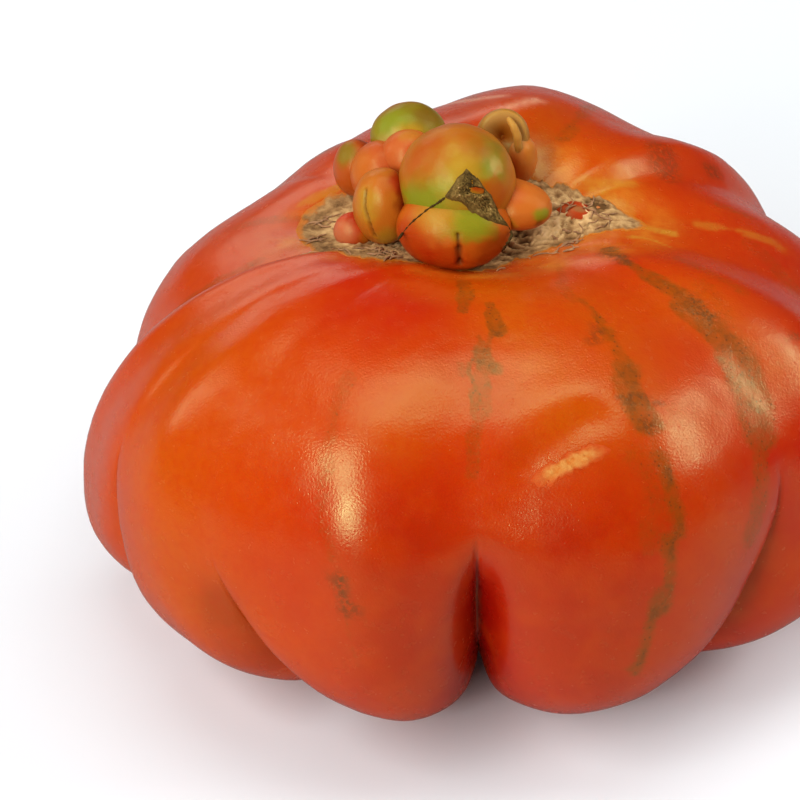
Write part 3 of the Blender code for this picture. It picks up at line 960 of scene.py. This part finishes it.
def cork_finish(name, pale, mid, dark, rim, rim_from):
    """Dry corky tissue, like the skin at its rim. Pale on its crests and brown in its furrows: the cork's
    own tan, with a painted highlight and painted shade.
    """
    paint = Paint(name, 0.88)
    paint.set_socket("Specular IOR Level", 0.25)
    paint.set_socket("Specular Tint", WARM_GLOSS)
    # Painted highlight on the relief's crests and painted shade in its furrows, over the cork's own tan.
    crest = paint.maths("ADD", paint.mark("crest"), paint.times(paint.noise(0.5, 5.0, 0.7), 0.5))
    colour = paint.ramp(crest, ((0.22, dark), (0.50, mid), (0.85, pale), (1.0, CREAM)))
    spots = paint.noise(1.6, 4.0, 0.7)
    colour = paint.blend(paint.between(spots, 0.54, 0.70, 0.0, 0.45), colour, BROWN)
    edge = paint.swayed(paint.mark("border"), spots, 0.5 - 0.4 * rim_from)
    skinlike = paint.between(edge, rim_from, 0.98)
    paint.set_socket("Base Color", paint.blend(skinlike, colour, rim))
    paint.set_socket("Roughness", paint.between(skinlike, 0.0, 1.0, 0.85, 0.40))
    paint.set_socket("Normal", paint.bump(paint.noise(0.35, 5.0, 0.75), 0.7, 0.14))
    return paint.material


def fibre_finish():
    paint = Paint("dry_fibre", 0.75, subsurface=0.1)
    shade = paint.noise(1.4, 4.0, 0.7)
    paint.set_socket("Base Color", paint.ramp(shade, ((0.30, DRY_BROWN), (0.46, CORK), (0.66, TAN))))
    paint.set_socket("Normal", paint.bump(paint.noise(0.3, 3.0, 0.7), 0.6, 0.06))
    return paint.material


# ---------------------------------------------------------------- studio
FRUIT_MIDDLE = Vector((0.0, 0.0, 0.035))
CAMERA_ELEVATION, CAMERA_DISTANCE, LENS = 36.8, 0.450, 127.6
LOOK_AT = Vector((0.0, 0.0, 33.0)) * METRES - Vector(SETTLED) * METRES
PAN = 0.0127                                # how far to the left of the fruit's middle it looks
AIR_LEVEL, AIR_IN_GLOSS = 0.19, 0.035
LIGHTS = (      # name, azimuth, elevation, distance, width, height, power, lean, whether the gloss shows it
    ("overhead_softbox", 180, 84, 0.8, 0.68, 0.32, 2.3),
    ("front_left_strip", -40, 43, 1.0, 0.22, 0.86, 6.8, 33),
    ("front_left_card", -26, 23, 1.0, 0.28, 0.34, 3.0, 33),
    ("right_strip", 96, 35, 1.0, 0.12, 0.54, 2.6, -50),
    ("left_panel", -102, 30, 1.1, 0.28, 0.62, 1.6),
    ("back_left_panel", -158, 20, 1.2, 0.7, 0.30, 1.1),
    ("right_fill", 118, 34, 1.3, 1.20, 0.80, 5.2, 0.0, False),
)


def build_floor():
    bpy.ops.object.select_all(action="DESELECT")
    bpy.ops.mesh.primitive_plane_add(size=8.0, location=(0.0, 0.0, 0.0))
    floor = bpy.context.active_object
    floor.name = "studio_floor"
    paint = Paint("white_sweep", 0.55)
    cloud = paint.noise(400.0, 2.0)
    shade = paint.blend(cloud, srgb(238, 241, 243), srgb(234, 238, 241))
    rays = paint.tree.nodes.new("ShaderNodeLightPath").outputs["Is Glossy Ray"]
    paint.set_socket("Base Color", paint.blend(paint.times(rays, 0.75), shade, srgb(96, 92, 88)))
    floor.data.materials.append(paint.material)


def add_soft_light(name, azimuth, elevation, distance, width, height, power, lean=0.0, in_gloss=True):
    """A flat soft light, aimed at the fruit and leaning sideways by an angle in degrees."""
    place = FRUIT_MIDDLE + aim(azimuth, elevation) * distance
    data = bpy.data.lights.new(name, "AREA")
    data.shape = "RECTANGLE"
    data.size, data.size_y = width, height
    data.energy = power
    light = bpy.data.objects.new(name, data)
    light.location = place
    turn = (FRUIT_MIDDLE - place).to_track_quat("-Z", "Y")
    light.rotation_euler = (turn @ Euler((0.0, 0.0, math.radians(lean))).to_quaternion()).to_euler()
    light.visible_glossy = in_gloss
    bpy.context.scene.collection.objects.link(light)


def build_studio():
    build_floor()
    world = bpy.data.worlds.new("studio_air")
    world.use_nodes = True
    air = world.node_tree.nodes["Background"]
    air.inputs["Color"].default_value = (0.95, 0.98, 1.0, 1.0)
    rays = world.node_tree.nodes.new("ShaderNodeLightPath")
    level = world.node_tree.nodes.new("ShaderNodeMapRange")     # dark cards around, seen in the gloss only
    level.inputs["To Min"].default_value, level.inputs["To Max"].default_value = AIR_LEVEL, AIR_IN_GLOSS
    world.node_tree.links.new(rays.outputs["Is Glossy Ray"], level.inputs["Value"])
    world.node_tree.links.new(level.outputs["Result"], air.inputs["Strength"])
    bpy.context.scene.world = world
    bpy.context.scene.view_settings.view_transform = "Standard"
    for light in LIGHTS:
        add_soft_light(*light)


def place_camera():
    data = bpy.data.cameras.new("camera")
    data.lens = LENS
    data.sensor_width = 36.0
    data.clip_start = 0.01
    camera = bpy.data.objects.new("camera", data)
    camera.location = LOOK_AT + aim(0.0, CAMERA_ELEVATION) * CAMERA_DISTANCE
    looks_at = LOOK_AT - Vector((PAN, 0.0, 0.0))
    camera.rotation_euler = (looks_at - camera.location).to_track_quat("-Z", "Y").to_euler()
    bpy.context.scene.collection.objects.link(camera)
    bpy.context.scene.camera = camera


# ---------------------------------------------------------------- making it
place_camera()
build_studio()

tomato_skin = skin_finish("tomato_skin_finish", 0.36, True, 0.14)
fruitlet_skin = skin_finish("fruitlet_skin_finish", 0.25, False, 0.12)
scar_cork = cork_finish(
    "scar_cork_finish", srgb(210, 168, 112), srgb(158, 116, 72), srgb(96, 62, 34), srgb(190, 104, 24), 0.93)
seam_cork = cork_finish(
    "seam_cork_finish", srgb(150, 118, 62), srgb(104, 78, 36), srgb(58, 38, 16), srgb(104, 66, 22), 0.9)
scratch_cork = cork_finish(
    "scratch_cork_finish", srgb(208, 158, 92), srgb(200, 134, 66), srgb(190, 98, 30), srgb(182, 54, 2),
    0.30)

body = grow_body()
body_tree = tree_of([body])
scar = lay_blossom_scar(body_tree)
scratch = lay_healed_scratch(body_tree)
stem = lay_stem_scar(body_tree)
fruitlets = [grow_fruitlet(item) for item in FRUITLETS] + [grow_curl(), grow_curl_fold()]
fruitlet_tree = tree_of(fruitlets)
triangle = lay_seam_triangle(fruitlet_tree)
seam = lay_seam(fruitlet_tree)
fibres = scatter_fibres(tree_of([body, scar] + fruitlets))

finish_piece(body, tomato_skin, "tomato")
for piece in fruitlets:
    finish_piece(piece, fruitlet_skin)
for piece in (scar, stem):
    finish_piece(piece, scar_cork)
for piece in (triangle, seam):
    finish_piece(piece, seam_cork)
finish_piece(scratch, scratch_cork)
finish_piece(fibres, fibre_finish())
